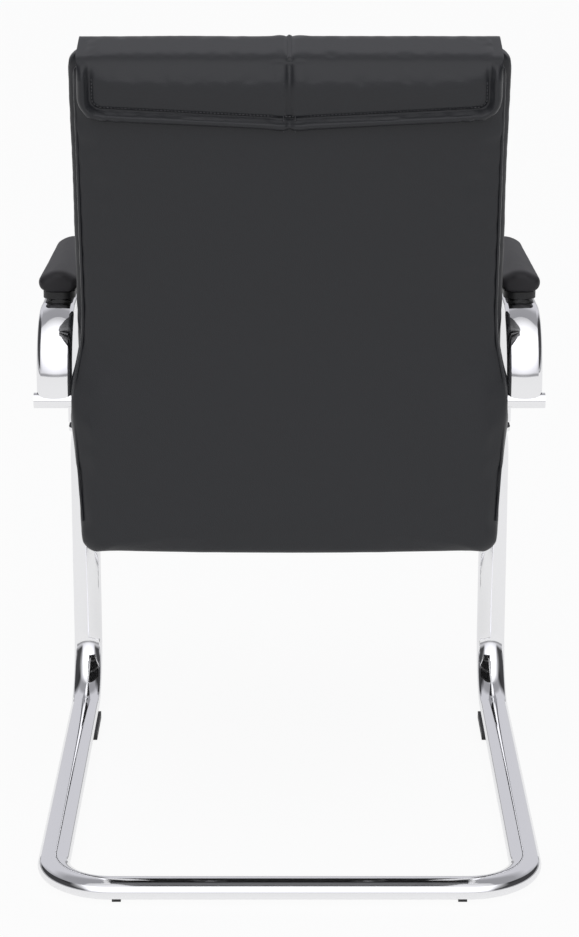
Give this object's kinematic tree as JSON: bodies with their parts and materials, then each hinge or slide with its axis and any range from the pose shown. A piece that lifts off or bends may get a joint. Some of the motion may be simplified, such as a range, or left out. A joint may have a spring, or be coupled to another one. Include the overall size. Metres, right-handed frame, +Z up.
{
  "type": "cantilever conference chair",
  "caption": "Cantilever conference chair on a bent chrome tube frame, with a black leather seat and high back, a folded headrest cover and padded loop armrests.",
  "frame": {"origin": "on the floor, under the middle of the chair's bounding box", "axes": "+Z up, the sitter faces -Y, +X is the sitter's left"},
  "size_m": [0.576, 0.6886, 0.9454],
  "materials": {
    "chrome": "polished chrome plate on bent steel tube",
    "black_leather": "black leather with a fine grain and a soft sheen",
    "arm_pad_leather": "black leather, slightly warmer, over a firm pad",
    "black_plastic": "matte black moulded plastic",
    "black_steel": "black powder coat",
    "plywood": "bare moulded plywood",
    "lining_cloth": "black woven dust cloth",
    "plated_steel": "zinc plated steel"
  },
  "bodies": {
    "root": {"frame_tube_left": "chrome", "frame_tube_right": "chrome", "arm_tube_left": "chrome", "arm_tube_right": "chrome", "rear_bar": "chrome", "rear_bar_caps": "chrome", "arm_foot_left": "chrome", "arm_foot_right": "chrome", "seat_cushion": "black_leather", "back_cushion": "black_leather", "rear_panel": "black_leather", "headrest_cover": "black_leather", "arm_pad_left": "arm_pad_leather", "arm_pad_right": "arm_pad_leather", "front_glide_left": "black_plastic", "front_glide_right": "black_plastic", "rear_glide_left": "black_plastic", "rear_glide_right": "black_plastic", "arm_tray_left": "black_plastic", "arm_tray_right": "black_plastic", "rail_plug_left": "black_plastic", "rail_plug_right": "black_plastic", "front_seat_strap": "black_steel", "rear_seat_strap": "black_steel", "back_brace_left": "black_steel", "back_brace_right": "black_steel", "bar_saddle_left": "black_steel", "bar_saddle_right": "black_steel", "seat_board": "plywood", "back_board": "plywood", "seat_dust_cover": "lining_cloth", "frame_joint_sleeve": "plated_steel", "seat_bolts": "plated_steel", "seat_nuts": "plated_steel", "back_bolts": "plated_steel", "back_nuts": "plated_steel", "glide_screws": "plated_steel", "pad_screws": "plated_steel", "foot_screws": "plated_steel"}
  },
  "joints": []
}
